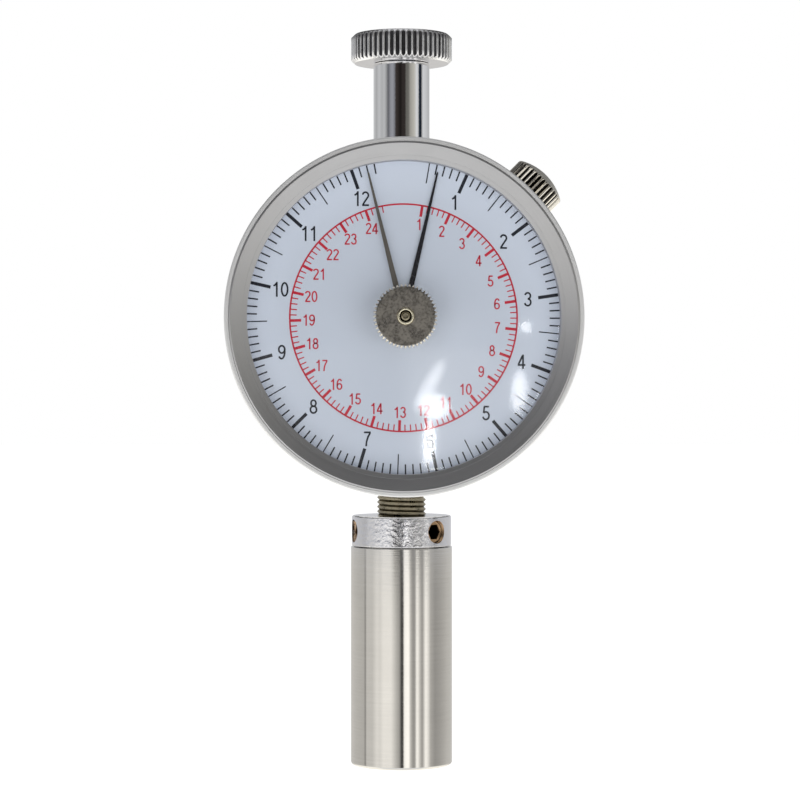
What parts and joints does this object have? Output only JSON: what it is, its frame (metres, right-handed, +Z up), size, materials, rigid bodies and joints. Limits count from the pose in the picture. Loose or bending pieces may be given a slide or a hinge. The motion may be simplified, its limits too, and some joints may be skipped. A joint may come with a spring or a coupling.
{
  "type": "fruit penetrometer",
  "caption": "Hand-held dial force gauge for fruit: round dial case, knurled top knob, spring-loaded plunger under a pull-off guard cap.",
  "frame": {"origin": "centre of the flat foot of the guard cap, on the plunger axis", "axes": "+Z up along the plunger axis, -Y out of the dial towards the viewer, +X to the viewer's right"},
  "size_m": [0.06, 0.0292, 0.125],
  "materials": {
    "satin_case": "satin",
    "satin_bezel": "fine turned satin",
    "chrome": "polished plate",
    "brushed_steel": "brushed",
    "machined_steel": "turned",
    "dark_steel": "blackened",
    "nickel_plate": "nickel plate",
    "worn_nickel": "worn nickel plate",
    "bronzed_steel": "bronzed",
    "brass": "turned",
    "clear_lens": "clear",
    "black_rubber": "matte",
    "grey_spacer": "matte",
    "dial_paint": "satin paint",
    "black_hand": "gloss paint",
    "grey_hand": "satin paint"
  },
  "bodies": {
    "case": {"case_body": "satin_case", "rear_cover": "satin_case", "cover_screws": "dark_steel", "bezel": "satin_bezel", "lens": "clear_lens", "lens_gasket": "black_rubber", "spacer_ring": "grey_spacer", "dial": "dial_paint", "front_plate": "brass", "middle_plate": "brass", "back_plate": "brass", "pillars": "brass", "pillar_screws": "machined_steel", "movement_screws": "machined_steel", "stem": "chrome", "upper_bush": "brass", "threaded_nose": "nickel_plate", "lock_collar": "chrome", "grub_screws": "bronzed_steel", "grip_ring": "black_rubber", "reset_bush": "nickel_plate", "main_spring": "dark_steel", "reset_spring": "dark_steel"},
    "plunger": {"plunger_rod": "machined_steel", "plunger_rack": "machined_steel", "stop_clip": "dark_steel", "spring_seat": "brass", "plunger_tip": "machined_steel"},
    "cap": {"guard_cap": "brushed_steel"},
    "arbor": {"rack_pinion": "brass", "drive_gear": "brass"},
    "live": {"centre_pinion": "machined_steel", "live_hand": "black_hand"},
    "marker": {"centre_knob": "worn_nickel", "knob_rivet": "nickel_plate", "marker_hand": "grey_hand", "friction_washer": "brass"},
    "reset": {"reset_button": "nickel_plate", "reset_pin": "machined_steel", "reset_clip": "dark_steel"},
    "knob": {"top_knob": "chrome"}
  },
  "joints": [
    {"name": "plunger_slide", "type": "slide", "parent": "case", "child": "plunger", "axis": [0, 0, 1], "range_m": [0, 0.004], "stiffness_N_per_m": 29400, "deforming": ["main_spring"]},
    {"name": "arbor_turn", "type": "hinge", "parent": "case", "child": "arbor", "pos_m": [-0.0064, 0, 0.0642], "axis": [0, 1, 0], "range_deg": [-72, 1]},
    {"name": "live_hand_turn", "type": "hinge", "parent": "case", "child": "live", "pos_m": [0, 0, 0.0762], "axis": [0, 1, 0], "range_deg": [-1, 335]},
    {"name": "marker_turn", "type": "hinge", "parent": "case", "child": "marker", "pos_m": [0, 0, 0.0762], "axis": [0, 1, 0], "continuous": true},
    {"name": "reset_press", "type": "slide", "parent": "case", "child": "reset", "axis": [-0.7071, 0, -0.7071], "range_m": [0, 0.0014], "stiffness_N_per_m": 1500, "deforming": ["reset_spring"]},
    {"name": "cap_pull", "type": "slide", "parent": "case", "child": "cap", "axis": [0, 0, -1], "range_m": [0, 0.032]},
    {"name": "top_knob_turn", "type": "hinge", "parent": "case", "child": "knob", "pos_m": [0, 0, 0.12], "axis": [0, 0, 1], "continuous": true}
  ],
  "couplings": [
    {"joint": "arbor_turn", "follows": "plunger_slide", "rad_per_m": -312.5},
    {"joint": "live_hand_turn", "follows": "plunger_slide", "rad_per_m": 1458.3}
  ]
}
